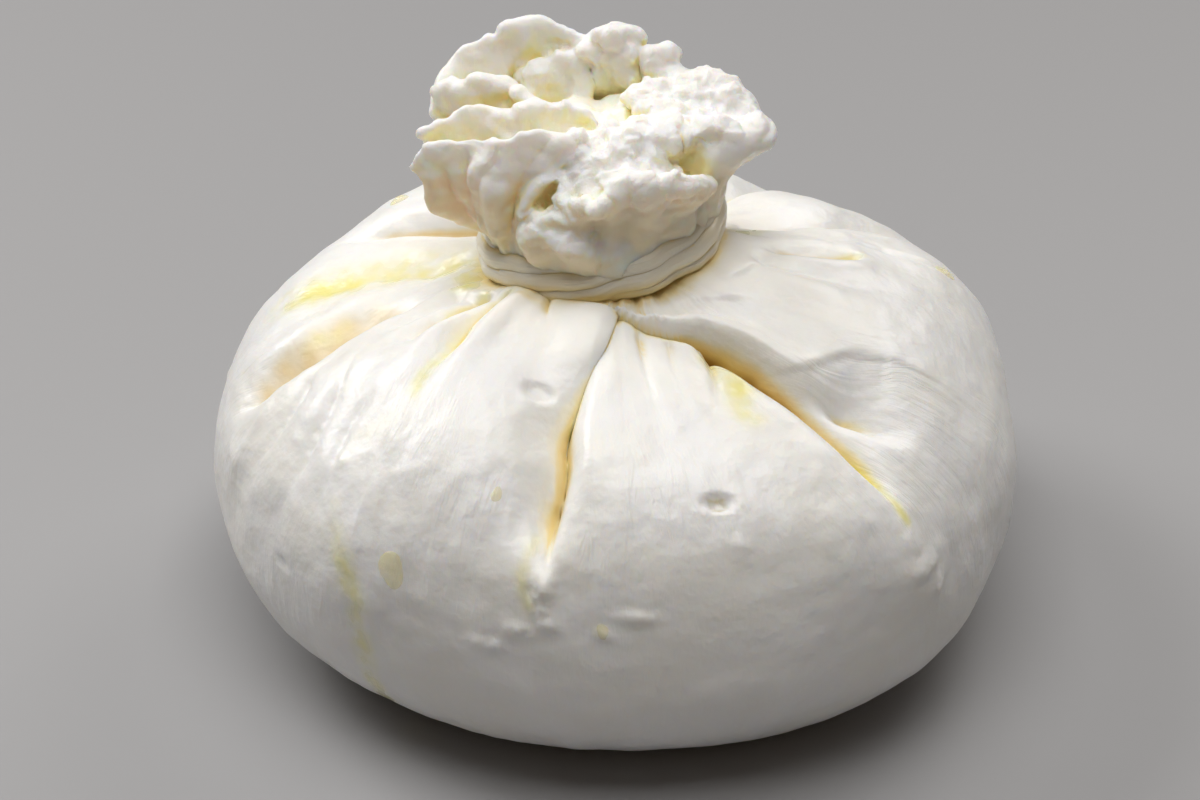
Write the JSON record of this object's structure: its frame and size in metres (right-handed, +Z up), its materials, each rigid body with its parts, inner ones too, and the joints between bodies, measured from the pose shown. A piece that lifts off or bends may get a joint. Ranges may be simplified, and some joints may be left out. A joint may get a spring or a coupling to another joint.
{
  "type": "burrata",
  "caption": "Whole burrata: a round pouch of stretched curd gathered into radial folds, twisted shut at a short neck, with a ruffled tuft on top and a flat underside.",
  "frame": {"origin": "on the table, at the middle of the flat spot the pouch rests on", "axes": "+Z up through the neck, front with the long centre crease towards -Y, the rolled flap to the right along +X"},
  "size_m": [0.0956, 0.0942, 0.0685],
  "materials": {
    "curd": "moist, faintly glossy ivory-white stretched curd"
  },
  "bodies": {
    "root": {"burrata": "curd"}
  },
  "joints": []
}
